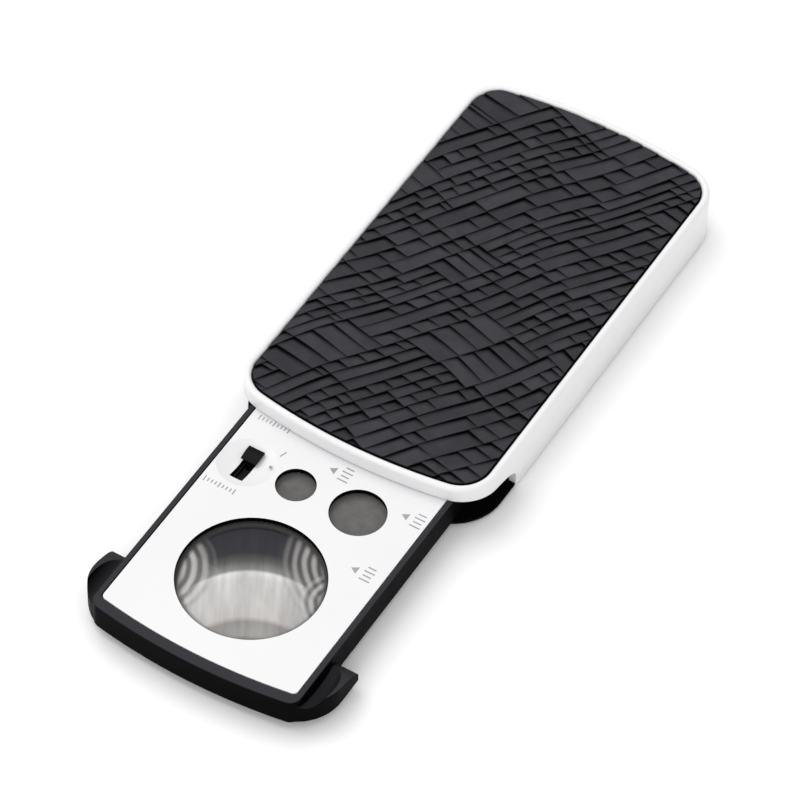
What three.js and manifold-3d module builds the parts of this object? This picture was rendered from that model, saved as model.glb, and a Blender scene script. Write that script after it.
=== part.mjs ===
// Pull-out pocket loupe with white and ultraviolet lamps, for looking at banknotes.
// A flat tray with three lenses slides in a two-part sleeve. Millimetres, +Z up.
// The origin is at the middle of the resting face, with the tray pulled out.
import * as THREE from 'three';
import { mergeVertices } from 'three/addons/utils/BufferGeometryUtils.js';
import Module from 'manifold-3d';

const wasm = await Module();
wasm.setup();

// ---- driving dimensions -------------------------------------------------

const GAP = 0.3;                 // between pieces that meet
const RUNNING_GAP = 0.35;        // between the tray and the sleeve

// Sleeve, in plan. Its own y starts at its middle, and -y is the mouth.
const SLEEVE_HALF_WIDTH = 25.5;
const SLEEVE_HALF_LENGTH = 46.4;
const SLEEVE_CORNER = 7.5;
const END_BOW = 110;             // radius of the gently curved ends
const SHELL_WALL = 1.4;
const SHELL_EDGE_ROUND = 1.0;

// Sleeve levels.
const FLOOR_TOP = 1.3;
const WALL_BOTTOM = 0.3;         // the walls reach down past the base, which sits inside them
const BASE_PLAY = 0.15;          // between the base and the walls round it
const BASE_FRONT_CORNER = 10.0;  // of the base where the notches bare it
const LIP_LEVEL = 7.8;
const NOTCH_BACK = -30.3;       // where the corner notches end
const CEILING = 8.7;
const PAD_SEAT = 9.9;
const SLEEVE_TOP = 10.9;

// Grip pad let into the top of the sleeve.
const PAD_HALF_WIDTH = 24.0;
const PAD_HALF_LENGTH = 44.9;
const PAD_CORNER = 6.0;

// Tray. Its own y starts at its front face.
const TRAY_HALF_WIDTH = 20.8;
const TRAY_LENGTH = 82.4;
const TRAY_BOTTOM = 1.6;
const TRAY_TOP = 7.5;
const TRAY_CORNER = 2.2;
const TRAY_WALL = 2.0;
const TRAY_FLOOR = 1.0;
const TRAY_FRONT_BOW = 115;
const EAR_HALF_WIDTH = 24.9;
const EAR_CORNER = 9.0;
const EAR_BACK = 15.5;
const LUG_REACH = 1.1;
const LUG_LENGTH = 3.0;

// Face plate let into the tray.
const RIM_SIDE = 1.0;
const RIM_FRONT = 2.0;
const RIM_REAR = 1.5;
const PLATE_THICKNESS = 1.0;
const PLATE_SLIT = 0.2;          // open line between plate and rim
const PLATE_BOTTOM = TRAY_TOP - PLATE_THICKNESS;
const SEAT_LEVEL = PLATE_BOTTOM - GAP;

// The tray is drawn out by this much from the shut position.
const TRAVEL = 51.4;
const SLEEVE_Y = TRAVEL / 2;
const TRAY_Y = SLEEVE_Y - SLEEVE_HALF_LENGTH - TRAVEL;

// Lenses: place in the tray, aperture in the face plate and glass levels.
const LENSES = [
  { name: '30x', x: 0, y: 20.8, aperture: 13.25, rim: 0.5, low: 4.7, high: 6.1, bulge: 1.0, sides: 44 },
  { name: '60x', x: 8.0, y: 42.75, aperture: 5.15, rim: 0.45, low: 4.1, high: 6.1, bulge: 0, sides: 24 },
  { name: '90x', x: -4.4, y: 42.25, aperture: 3.65, rim: 0.45, low: 4.1, high: 6.1, bulge: 0, sides: 20 },
];
const LENS_POCKET_WALL = 1.0;
const LENS_PLAY = 0.2;
const LENS_RING_WIDTH = 0.9;
const LENS_LEDGE = 0.3;

// Slide switch, which runs along y in a dish of the face plate.
const SWITCH_X = -14.4;
const SWITCH_Y = 42.0;
const DISH_RADIUS = 5.4;
const DISH_DEPTH = 1.2;
const SLOT_WIDTH = 2.6;
const SLOT_LENGTH = 7.2;
const KNOB_WIDTH = 3.2;
const KNOB_LENGTH = 3.0;
const KNOB_TOP = 7.6;
const KNOB_UNDERSIDE = 7.05;
const KNOB_TRAVEL = 4.0;
const STEM_WIDTH = 1.6;
const STEM_BOTTOM = 4.35;

// Circuit board, lamps and cells.
const BOARD_LOW = 3.0;
const BOARD_HIGH = 3.6;
const LAMP_SIZE = [2.8, 3.5];
const LAMPS = [
  { name: 'white_led_1', x: 16.75, y: 33.0 },
  { name: 'white_led_2', x: 1.9, y: 50.9 },
  { name: 'uv_led', x: -16.3, y: 31.3 },
];
const CELL_RADIUS = 5.8;
const CELL_HEIGHT = 3.05;
const CELL_SPACING = 12.2;
const CELL_ROW_Y = 66.8;
const CELL_LOW = 2.75;
const DOOR_HALF_WIDTH = 18.4;
const DOOR_HALF_LENGTH = 6.4;
const DOOR_THICKNESS = 0.8;
const DOOR_TAB = [3.2, 4.4];

// Fasteners.
const SCREW_HEAD = 1.1;
const SCREW_SHANK = 0.5;
const BOSS_RADIUS = 1.4;
const PILOT_RADIUS = 0.75;
const SHELL_SCREWS = [[22.4, -27.5], [-22.4, -27.5], [21.0, 40.3], [-21.0, 40.3]];
const TRAY_SCREWS = [[17.0, 6.2], [-17.0, 6.2], [17.0, 78.2], [-17.0, 78.2]];

// ---- materials ----------------------------------------------------------

function material(colour, roughness, metalness = 0) {
  return new THREE.MeshStandardMaterial({ color: colour, roughness, metalness, flatShading: true });
}

const WHITE_SHELL = material(0xf6f6f6, 0.35);
const WHITE_PLATE = material(0xf8f8f8, 0.3);
const BLACK_PLASTIC = material(0x1c1b1e, 0.45);
const PAD_SKIN = material(0x26262a, 0.6);
const GLASS = material(0xb9b7b6, 0.05);
const STEEL = material(0xb8babd, 0.3, 1);
const BOARD_GREEN = material(0x1f6b3c, 0.5);
const LAMP_CLEAR = material(0xf2efdc, 0.2);
const LAMP_VIOLET = material(0x8a7bd0, 0.2);

// ---- solids -------------------------------------------------------------

// Merge the vertices of a closed geometry and turn it outwards as a solid.
function solid(geometry) {
  geometry.deleteAttribute('normal');
  geometry.deleteAttribute('uv');
  const merged = mergeVertices(geometry);
  const points = merged.attributes.position.array;
  const index = merged.index.array;
  const corner = (i) => new THREE.Vector3().fromArray(points, index[i] * 3);
  const faces = [];
  let volume = 0;
  for (let i = 0; i < index.length; i += 3) {
    const [a, b, c] = [index[i], index[i + 1], index[i + 2]];
    if (a !== b && b !== c && c !== a) {
      faces.push([a, b, c]);
      volume += corner(i).dot(corner(i + 1).cross(corner(i + 2)));
    }
  }
  const turned = volume < 0 ? faces.map(([a, b, c]) => [a, c, b]) : faces;
  return new wasm.Manifold(new wasm.Mesh({
    numProp: 3,
    vertProperties: new Float32Array(points),
    triVerts: new Uint32Array(turned.flat()),
  }));
}

function join(first, ...others) {
  return others.reduce((whole, other) => whole.add(other), first);
}

function cut(first, ...tools) {
  return tools.reduce((whole, tool) => whole.subtract(tool), first);
}

function node(name, body, finish) {
  const { vertProperties, triVerts } = body.getMesh();
  const geometry = new THREE.BufferGeometry();
  geometry.setAttribute('position', new THREE.BufferAttribute(vertProperties, 3));
  geometry.setIndex(new THREE.BufferAttribute(triVerts, 1));
  const mesh = new THREE.Mesh(geometry, finish);
  mesh.name = name;
  return mesh;
}

// Box between two corners.
function block(x0, x1, y0, y1, z0, z1) {
  const geometry = new THREE.BoxGeometry(x1 - x0, y1 - y0, z1 - z0);
  return solid(geometry.translate((x0 + x1) / 2, (y0 + y1) / 2, (z0 + z1) / 2));
}

// Upright cylinder between two levels.
function post(x, y, radius, z0, z1, sides = 14) {
  const geometry = new THREE.CylinderGeometry(radius, radius, z1 - z0, sides);
  return solid(geometry.rotateX(Math.PI / 2).translate(x, y, (z0 + z1) / 2));
}

// Upright extrusion of a plan outline.
function slab(outline, z0, z1, curveSegments = 6) {
  const geometry = new THREE.ExtrudeGeometry(outline, { depth: z1 - z0, bevelEnabled: false, curveSegments });
  return solid(geometry.translate(0, 0, z0));
}

// The same, with the edge of the top or of the bottom rounded over.
function roundedSlab(outline, z0, z1, round, roundedEnd, curveSegments = 6) {
  const geometry = new THREE.ExtrudeGeometry(outline, {
    depth: z1 - z0,
    bevelThickness: round,
    bevelSize: round,
    bevelOffset: -round,
    bevelSegments: 2,
    curveSegments,
  });
  const shift = roundedEnd === 'top' ? z0 - round : z0 + round;
  const reach = SLEEVE_HALF_LENGTH * 2;
  return solid(geometry.translate(0, 0, shift)).intersect(block(-reach, reach, -reach, reach, z0, z1));
}

// Extrusion across the object of an outline drawn in y and z.
function crossways(outline, halfWidth, curveSegments = 8) {
  const geometry = new THREE.ExtrudeGeometry(outline, {
    depth: halfWidth * 2,
    bevelEnabled: false,
    curveSegments,
  });
  geometry.translate(0, 0, -halfWidth);
  const turn = new THREE.Matrix4().makeBasis(
    new THREE.Vector3(0, 1, 0),
    new THREE.Vector3(0, 0, 1),
    new THREE.Vector3(1, 0, 0),
  );
  return solid(geometry.applyMatrix4(turn));
}

// Solid of revolution about an upright axis, from points of radius and level.
function turned(points, x, y, sides) {
  const profile = points.map(([radius, level]) => new THREE.Vector2(radius, level));
  const geometry = new THREE.LatheGeometry(profile, sides);
  return solid(geometry.rotateX(Math.PI / 2).translate(x, y, 0));
}

// ---- outlines -----------------------------------------------------------

// Rectangle with bowed ends and rounded corners, about its own middle.
function bowedOutline(halfWidth, halfLength, bow, corner) {
  const cornerX = halfWidth - corner;
  const bowY = halfLength - bow;
  const cornerY = bowY + Math.sqrt((bow - corner) ** 2 - cornerX ** 2);
  const turn = Math.atan2(cornerY - bowY, cornerX);
  const shape = new THREE.Shape();
  shape.absarc(cornerX, cornerY, corner, 0, turn);
  shape.absarc(0, bowY, bow, turn, Math.PI - turn);
  shape.absarc(-cornerX, cornerY, corner, Math.PI - turn, Math.PI);
  shape.absarc(-cornerX, -cornerY, corner, Math.PI, Math.PI + turn);
  shape.absarc(0, -bowY, bow, Math.PI + turn, 2 * Math.PI - turn);
  shape.absarc(cornerX, -cornerY, corner, 2 * Math.PI - turn, 2 * Math.PI);
  return shape;
}

function sleeveOutline(inset) {
  return bowedOutline(
    SLEEVE_HALF_WIDTH - inset,
    SLEEVE_HALF_LENGTH - inset,
    END_BOW - inset,
    SLEEVE_CORNER - inset,
  );
}

function padOutline(outset) {
  return bowedOutline(PAD_HALF_WIDTH + outset, PAD_HALF_LENGTH + outset, END_BOW, PAD_CORNER + outset);
}

// Bowed front with rounded corners, straight sides and a straight back.
function trayOutline(halfWidth, front, back, bow, corner) {
  const cornerX = halfWidth - corner;
  const bowY = front + bow;
  const cornerY = bowY - Math.sqrt((bow - corner) ** 2 - cornerX ** 2);
  const turn = Math.atan2(bowY - cornerY, cornerX);
  const shape = new THREE.Shape();
  shape.moveTo(halfWidth, back);
  shape.lineTo(-halfWidth, back);
  shape.absarc(-cornerX, cornerY, corner, Math.PI, Math.PI + turn);
  shape.absarc(0, bowY, bow, Math.PI + turn, 2 * Math.PI - turn);
  shape.absarc(cornerX, cornerY, corner, 2 * Math.PI - turn, 2 * Math.PI);
  return shape;
}

function plateOutline(inset) {
  return trayOutline(
    TRAY_HALF_WIDTH - RIM_SIDE - inset,
    RIM_FRONT + inset,
    TRAY_LENGTH - RIM_REAR - inset,
    TRAY_FRONT_BOW - RIM_FRONT,
    1.0,
  );
}

// Line, in y and z, where the sleeve's side walls stop and the tray's ears
// begin. dy and dz move it; the outline is closed at the given level.
function notchOutline(dy, dz, closeAt) {
  const front = -SLEEVE_HALF_LENGTH - 2 + dy;
  const back = NOTCH_BACK + dy;
  const shape = new THREE.Shape();
  shape.moveTo(front, LIP_LEVEL + dz);
  shape.lineTo(-44.0 + dy, TRAY_TOP + 0.1 + dz);
  shape.bezierCurveTo(-36.5 + dy, TRAY_TOP - 0.3 + dz, back, 5.8 + dz, back, 3.2 + dz);
  shape.lineTo(back, closeAt);
  shape.lineTo(front, closeAt);
  return shape;
}

// ---- sleeve -------------------------------------------------------------

function shellScrewHoles() {
  return SHELL_SCREWS.map(([x, y]) => post(x, y, PILOT_RADIUS, -1, CEILING - 1));
}

function upperShell() {
  const outside = roundedSlab(sleeveOutline(0), WALL_BOTTOM, SLEEVE_TOP, SHELL_EDGE_ROUND, 'top');
  const hollow = slab(sleeveOutline(SHELL_WALL), 0, CEILING);
  const padRecess = slab(padOutline(GAP / 2), PAD_SEAT, SLEEVE_TOP + 1);
  const mouth = crossways(notchOutline(0, 0, -1), SLEEVE_HALF_WIDTH + 1);
  const bossBottom = FLOOR_TOP + 0.9 + GAP;
  const bosses = SHELL_SCREWS.map(([x, y]) => post(x, y, BOSS_RADIUS, bossBottom, CEILING + 0.2));
  return cut(join(cut(outside, hollow, padRecess, mouth), ...bosses), ...shellScrewHoles());
}

// Rail beside the tray: its thick front part stops the tray's lug.
function rail() {
  const inner = TRAY_HALF_WIDTH + RUNNING_GAP;
  const wide = TRAY_HALF_WIDTH + LUG_REACH + RUNNING_GAP;
  const outer = SLEEVE_HALF_WIDTH - SHELL_WALL - 0.9;
  const lugFront = TRAY_LENGTH - LUG_LENGTH - SLEEVE_HALF_LENGTH - TRAVEL;
  const top = 7.0;
  return join(
    block(inner, outer, -25.6, lugFront - GAP, FLOOR_TOP - 0.2, top),
    block(wide, outer, lugFront - GAP - 0.5, 37.5, FLOOR_TOP - 0.2, top),
  );
}

function mirrored(body) {
  return join(body, body.mirror([1, 0, 0]));
}

// Floor inside the walls, as wide as the sleeve only where the notches bare its front.
function basePlate() {
  const nested = slab(sleeveOutline(SHELL_WALL + BASE_PLAY), 0, FLOOR_TOP);
  const bared = bowedOutline(
    SLEEVE_HALF_WIDTH - 0.1,
    SLEEVE_HALF_LENGTH - 0.1,
    END_BOW - 0.1,
    BASE_FRONT_CORNER,
  );
  const behind = block(-30, 30, NOTCH_BACK - BASE_PLAY, SLEEVE_HALF_LENGTH + 1, -1, FLOOR_TOP + 1);
  return join(nested, cut(roundedSlab(bared, 0, FLOOR_TOP, SHELL_EDGE_ROUND, 'bottom'), behind));
}

function lowerShell() {
  const pads = SHELL_SCREWS.map(([x, y]) => post(x, y, 1.2, FLOOR_TOP - 0.2, FLOOR_TOP + 0.9));
  const sinks = SHELL_SCREWS.map(([x, y]) => post(x, y, SCREW_HEAD + 0.2, -1, 0.8));
  return cut(join(basePlate(), mirrored(rail()), ...pads), ...sinks, ...shellScrewHoles());
}

function gripPad() {
  return slab(padOutline(0), PAD_SEAT + 0.2, SLEEVE_TOP);
}

// Pan-head screw that points up, with a square-cornered driver recess.
function screw(x, y, headLow, headHigh, tip) {
  const head = post(x, y, SCREW_HEAD, headLow, headHigh, 12);
  const shank = post(x, y, SCREW_SHANK, headHigh - 0.1, tip, 8);
  const across = SCREW_HEAD * 0.6;
  const recess = block(x - across, x + across, y - 0.15, y + 0.15, headLow - 0.1, headLow + 0.25);
  return cut(join(head, shank), recess);
}

// ---- tray ---------------------------------------------------------------

// Grip ears at both front corners, hollowed for a finger nail.
function ears() {
  const outline = trayOutline(EAR_HALF_WIDTH, 0, EAR_BACK, TRAY_FRONT_BOW, EAR_CORNER);
  const whole = roundedSlab(outline, TRAY_BOTTOM, TRAY_TOP, 0.6, 'bottom');
  const above = crossways(notchOutline(SLEEVE_HALF_LENGTH - RUNNING_GAP, -RUNNING_GAP, TRAY_TOP + 2), 30);
  const scoop = (side) => {
    const ball = new THREE.SphereGeometry(1, 14, 8);
    ball.scale(3.2, 7.5, 4.2);
    return solid(ball.translate(side * (TRAY_HALF_WIDTH + 0.4), EAR_BACK - 6.4, 8.2));
  };
  return cut(whole, above, scoop(1), scoop(-1));
}

function lensGlassRadius(lens) {
  return lens.aperture + lens.rim;
}

function trayFrame() {
  const outside = roundedSlab(
    trayOutline(TRAY_HALF_WIDTH, 0, TRAY_LENGTH, TRAY_FRONT_BOW, TRAY_CORNER),
    TRAY_BOTTOM,
    TRAY_TOP,
    0.6,
    'bottom',
  );
  const lug = block(
    TRAY_HALF_WIDTH - 0.5,
    TRAY_HALF_WIDTH + LUG_REACH,
    TRAY_LENGTH - LUG_LENGTH,
    TRAY_LENGTH,
    TRAY_BOTTOM,
    6.6,
  );
  const floorTop = TRAY_BOTTOM + TRAY_FLOOR;
  const inside = slab(
    trayOutline(TRAY_HALF_WIDTH - TRAY_WALL, RIM_FRONT + 1.2, TRAY_LENGTH - TRAY_WALL, TRAY_FRONT_BOW, 1.5),
    floorTop,
    TRAY_TOP,
  );
  const plateSeat = slab(plateOutline(0), SEAT_LEVEL, TRAY_TOP + 1);
  const pockets = LENSES.map((lens) => {
    const outer = lensGlassRadius(lens) + LENS_PLAY + LENS_POCKET_WALL;
    return post(lens.x, lens.y, outer, floorTop - 0.2, SEAT_LEVEL, lens.sides);
  });
  const bores = LENSES.flatMap((lens) => {
    const bore = lensGlassRadius(lens) + LENS_PLAY;
    const hole = lensGlassRadius(lens) - LENS_RING_WIDTH - LENS_LEDGE;
    return [
      post(lens.x, lens.y, bore, floorTop, TRAY_TOP, lens.sides),
      post(lens.x, lens.y, hole, 0, TRAY_TOP, lens.sides),
    ];
  });
  const stubs = TRAY_SCREWS.map(([x, y]) => post(x, y, BOSS_RADIUS, floorTop - 0.2, floorTop + 0.4));
  const screwHoles = TRAY_SCREWS.flatMap(([x, y]) => [
    post(x, y, PILOT_RADIUS, 0, TRAY_TOP),
    post(x, y, SCREW_HEAD + 0.2, 0, TRAY_BOTTOM + 0.7),
  ]);
  const windows = LAMPS.map(({ x, y }) => {
    const [halfX, halfY] = LAMP_SIZE.map((size) => size / 2 + 0.25);
    return block(x - halfX, x + halfX, y - halfY, y + halfY, 0, floorTop + 0.1);
  });
  const shellOnly = cut(join(outside, mirrored(lug), ears()), inside, plateSeat);
  const withPockets = join(
    shellOnly,
    ...pockets,
    ...stubs,
    ...cellDividers(floorTop),
    doorScrewBoss(floorTop),
  );
  return cut(withPockets, contactChannel(), ...bores, ...screwHoles, ...windows, ...doorOpening());
}

// Low walls at both sides of the row of cells, open where the contacts pass.
function cellDividers(floorTop) {
  const half = TRAY_HALF_WIDTH - TRAY_WALL + 0.2;
  const near = CELL_ROW_Y - DOOR_HALF_LENGTH - 1.3;
  const far = CELL_ROW_Y + DOOR_HALF_LENGTH + 0.5;
  const front = block(-half, half, near, near + 0.8, floorTop - 0.2, 5.4);
  const back = block(-half, half, far, far + 0.8, floorTop - 0.2, 5.4);
  return [front, back];
}

// Channel in the floor and through the front divider for the lower contact.
function contactChannel() {
  const half = 1.6;
  return block(CELL_SPACING - half, CELL_SPACING + half, 52.8, CELL_ROW_Y, TRAY_BOTTOM + 0.7, 3.6);
}

function doorScrewPlace() {
  return [0, CELL_ROW_Y + DOOR_HALF_LENGTH + DOOR_TAB[1] - 2.0];
}

function doorScrewBoss(floorTop) {
  const [x, y] = doorScrewPlace();
  return block(x - 4.4, x + 4.4, y - 3.0, y + 3.2, floorTop - 0.2, 5.4);
}

function doorOpening() {
  const [x, y] = doorScrewPlace();
  const halfX = DOOR_HALF_WIDTH + GAP;
  const halfY = DOOR_HALF_LENGTH + GAP;
  const tabHalf = DOOR_TAB[0] + GAP;
  const back = CELL_ROW_Y + DOOR_HALF_LENGTH + DOOR_TAB[1] + GAP;
  return [
    block(-halfX, halfX, CELL_ROW_Y - halfY, CELL_ROW_Y + halfY, 0, TRAY_BOTTOM + TRAY_FLOOR + 0.1),
    block(-tabHalf, tabHalf, CELL_ROW_Y, back, 0, TRAY_BOTTOM + DOOR_THICKNESS + GAP),
    post(x, y, PILOT_RADIUS, 0, 5.0),
  ];
}

// Cap of a sphere that stands on its lowest point, closed a little above the plate.
function dishProfile(sphere, bottom) {
  const steps = 5;
  const reach = Math.acos(1 - (DISH_DEPTH + 0.3) / sphere);
  const points = [];
  for (let i = 0; i <= steps; i += 1) {
    const angle = (reach * i) / steps;
    points.push([sphere * Math.sin(angle), bottom + sphere * (1 - Math.cos(angle))]);
  }
  points.push([0, points[steps][1]]);
  return points;
}

function facePlate() {
  const plate = slab(plateOutline(PLATE_SLIT), PLATE_BOTTOM, TRAY_TOP);
  const dishSphere = (DISH_RADIUS ** 2 + DISH_DEPTH ** 2) / (2 * DISH_DEPTH);
  const dishBottom = TRAY_TOP - DISH_DEPTH;
  const dish = turned(dishProfile(dishSphere, dishBottom), SWITCH_X, SWITCH_Y, 28);
  const pod = block(
    SWITCH_X - 3.9,
    SWITCH_X + 3.9,
    SWITCH_Y - 5.0,
    SWITCH_Y + 5.0,
    dishBottom - 1.1,
    PLATE_BOTTOM + 0.2,
  );
  const slot = block(
    SWITCH_X - SLOT_WIDTH / 2,
    SWITCH_X + SLOT_WIDTH / 2,
    SWITCH_Y - SLOT_LENGTH / 2,
    SWITCH_Y + SLOT_LENGTH / 2,
    0,
    TRAY_TOP + 1,
  );
  const bosses = TRAY_SCREWS.map(([x, y]) => post(x, y, BOSS_RADIUS, 3.3, PLATE_BOTTOM + 0.2));
  const pilots = TRAY_SCREWS.map(([x, y]) => post(x, y, PILOT_RADIUS, 0, PLATE_BOTTOM));
  const apertures = LENSES.map(({ x, y, aperture, sides }) => post(x, y, aperture, 0, TRAY_TOP + 1, sides));
  return cut(join(plate, pod, ...bosses), dish, slot, ...pilots, ...apertures);
}

// Level of a bulging lens face at a given radius.
function bulgeCurve(radius, bulge, from, steps, sign) {
  const points = [];
  for (let i = 0; i <= steps; i += 1) {
    const r = (radius * i) / steps;
    points.push([r, from + sign * bulge * (1 - (r / radius) ** 2)]);
  }
  return points;
}

function lensGlass(lens) {
  const radius = lensGlassRadius(lens);
  const under = bulgeCurve(radius, lens.bulge * 1.5 + 0.1, lens.low, 3, -1);
  const over = bulgeCurve(radius, lens.bulge + 0.1, lens.high - 0.1, 3, 1);
  return turned([...under, ...over.reverse()], lens.x, lens.y, lens.sides);
}

// Spacer ring that holds the glass up against the face plate.
function lensRing(lens) {
  const outer = lensGlassRadius(lens);
  const inner = outer - LENS_RING_WIDTH;
  const low = TRAY_BOTTOM + TRAY_FLOOR + 0.1;
  const high = lens.low - 0.1 - lens.bulge * 0.25;
  const section = [[inner, low], [outer, low], [outer, high], [inner, high], [inner, low]];
  return turned(section, lens.x, lens.y, lens.sides);
}

// ---- switch, board, lamps and cells -------------------------------------

function switchKnob() {
  const y = SWITCH_Y + KNOB_TRAVEL / 2;
  const cap = new THREE.Shape();
  cap.moveTo(y - KNOB_LENGTH / 2, KNOB_UNDERSIDE);
  cap.lineTo(y + KNOB_LENGTH / 2, KNOB_UNDERSIDE);
  cap.lineTo(y + KNOB_LENGTH / 2, KNOB_TOP);
  cap.lineTo(y - KNOB_LENGTH / 2 + 0.9, KNOB_TOP);
  const stem = block(-STEM_WIDTH / 2, STEM_WIDTH / 2, y - 1.2, y + 1.2, STEM_BOTTOM, KNOB_UNDERSIDE + 0.2);
  return join(crossways(cap, KNOB_WIDTH / 2), stem).translate([SWITCH_X, 0, 0]);
}

function switchBody() {
  const top = 4.95;
  const around = (halfX, halfY, low, high) => (
    block(SWITCH_X - halfX, SWITCH_X + halfX, SWITCH_Y - halfY, SWITCH_Y + halfY, low, high)
  );
  return cut(around(1.9, 4.2, BOARD_HIGH + 0.1, top), around(1.1, 3.5, STEM_BOTTOM - 0.2, top + 1));
}

// Board with a wide end under the switch and arms that reach the lamps.
function circuitBoard() {
  const arms = [
    [-18.4, -10.4, 35.6, 54.4],
    [-18.4, -14.2, 29.2, 36.0],
    [-18.4, 18.4, 48.4, 54.4],
    [15.2, 18.4, 30.9, 49.0],
  ];
  const boards = arms.map(([x0, x1, y0, y1]) => block(x0, x1, y0, y1, BOARD_LOW, BOARD_HIGH));
  const clearances = LENSES.map((lens) => {
    const radius = lensGlassRadius(lens) + LENS_PLAY + LENS_POCKET_WALL + GAP;
    return post(lens.x, lens.y, radius, 0, TRAY_TOP, lens.sides);
  });
  return cut(join(...boards), ...clearances);
}

function lamp({ x, y }) {
  const [sizeX, sizeY] = LAMP_SIZE;
  const low = 1.95;
  const base = block(x - sizeX / 2, x + sizeX / 2, y - sizeY / 2, y + sizeY / 2, low + 0.25, BOARD_LOW - 0.1);
  return join(base, post(x, y, 1.15, low, low + 0.4, 16));
}

function cell(x) {
  const top = CELL_LOW + CELL_HEIGHT;
  const cap = [[0, CELL_LOW], [4.6, CELL_LOW], [4.9, CELL_LOW + 0.3]];
  const can = [[CELL_RADIUS, CELL_LOW + 0.5], [CELL_RADIUS, top], [0, top]];
  return turned([...cap, ...can], x, CELL_ROW_Y, 28);
}

// Strip that joins two neighbouring cells, above or below them.
function cellLink(x, low) {
  return block(x - 7.2, x + 7.2, CELL_ROW_Y - 1.6, CELL_ROW_Y + 1.6, low, low + 0.15);
}

// Strip from the end of the row of cells to the board, with a leg at its end.
function contact(x, low, boardLevel) {
  const front = 53.2;
  const high = low + 0.15;
  const strip = block(x - 1.2, x + 1.2, front, CELL_ROW_Y + 2, low, high);
  const legLow = Math.min(low, boardLevel);
  const legHigh = Math.max(high, boardLevel);
  return join(strip, block(x - 1.2, x + 1.2, front, front + 0.2, legLow, legHigh));
}

function batteryDoor() {
  const top = TRAY_BOTTOM + DOOR_THICKNESS;
  const [x, y] = doorScrewPlace();
  const halfX = DOOR_HALF_WIDTH;
  const near = CELL_ROW_Y - DOOR_HALF_LENGTH;
  const far = CELL_ROW_Y + DOOR_HALF_LENGTH;
  const panel = block(-halfX, halfX, near, far, TRAY_BOTTOM, top);
  const tab = block(-DOOR_TAB[0], DOOR_TAB[0], far - 0.5, far + DOOR_TAB[1], TRAY_BOTTOM, top);
  const sink = post(x, y, SCREW_HEAD + 0.2, 0, TRAY_BOTTOM + 0.5);
  const hole = post(x, y, PILOT_RADIUS, 0, top + 1);
  const grooves = [-1, 0, 1].map((i) => {
    const grooveY = near + 2.2 + i * 0.9;
    return block(-4, 4, grooveY - 0.2, grooveY + 0.2, TRAY_BOTTOM - 0.1, TRAY_BOTTOM + 0.25);
  });
  return cut(join(panel, tab), sink, hole, ...grooves);
}

// ---- assembly -----------------------------------------------------------

function sleeveGroup() {
  const group = new THREE.Group();
  group.position.y = SLEEVE_Y;
  group.add(node('upper_shell', upperShell(), WHITE_SHELL));
  group.add(node('lower_shell', lowerShell(), BLACK_PLASTIC));
  group.add(node('grip_pad', gripPad(), PAD_SKIN));
  SHELL_SCREWS.forEach(([x, y], i) => {
    group.add(node(`shell_screw_${i + 1}`, screw(x, y, 0.1, 0.7, 6.5), STEEL));
  });
  return group;
}

function trayGroup() {
  const group = new THREE.Group();
  group.position.y = TRAY_Y;
  group.add(node('tray_frame', trayFrame(), BLACK_PLASTIC));
  group.add(node('face_plate', facePlate(), WHITE_PLATE));
  LENSES.forEach((lens) => {
    group.add(node(`lens_${lens.name}`, lensGlass(lens), GLASS));
    group.add(node(`lens_ring_${lens.name}`, lensRing(lens), BLACK_PLASTIC));
  });
  TRAY_SCREWS.forEach(([x, y], i) => {
    group.add(node(`tray_screw_${i + 1}`, screw(x, y, TRAY_BOTTOM + 0.05, TRAY_BOTTOM + 0.6, 5.8), STEEL));
  });
  group.add(node('switch_body', switchBody(), BLACK_PLASTIC));
  group.add(node('switch_knob', switchKnob(), BLACK_PLASTIC));
  group.add(node('circuit_board', circuitBoard(), BOARD_GREEN));
  LAMPS.forEach((place) => {
    const finish = place.name === 'uv_led' ? LAMP_VIOLET : LAMP_CLEAR;
    group.add(node(place.name, lamp(place), finish));
  });
  [-CELL_SPACING, 0, CELL_SPACING].forEach((x, i) => {
    group.add(node(`button_cell_${i + 1}`, cell(x), STEEL));
  });
  const overCells = CELL_LOW + CELL_HEIGHT + 0.1;
  const underCells = CELL_LOW - 0.25;
  group.add(node('cell_link_upper', cellLink(CELL_SPACING / 2, overCells), STEEL));
  group.add(node('cell_link_lower', cellLink(-CELL_SPACING / 2, underCells), STEEL));
  group.add(node('contact_positive', contact(-CELL_SPACING, overCells, BOARD_HIGH + 0.1), STEEL));
  group.add(node('battery_door', batteryDoor(), BLACK_PLASTIC));
  const [x, y] = doorScrewPlace();
  group.add(node('door_screw', screw(x, y, TRAY_BOTTOM + 0.05, TRAY_BOTTOM + 0.4, 4.8), STEEL));
  group.add(node('contact_negative', contact(CELL_SPACING, underCells, BOARD_LOW - 0.1), STEEL));
  return group;
}

const group = new THREE.Group();
group.add(sleeveGroup(), trayGroup());
export default group;
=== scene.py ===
"""Pull-out pocket loupe with white and ultraviolet lamps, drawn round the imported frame."""
import math
import random

import bmesh
import bpy
from mathutils import Matrix, Vector


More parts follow.
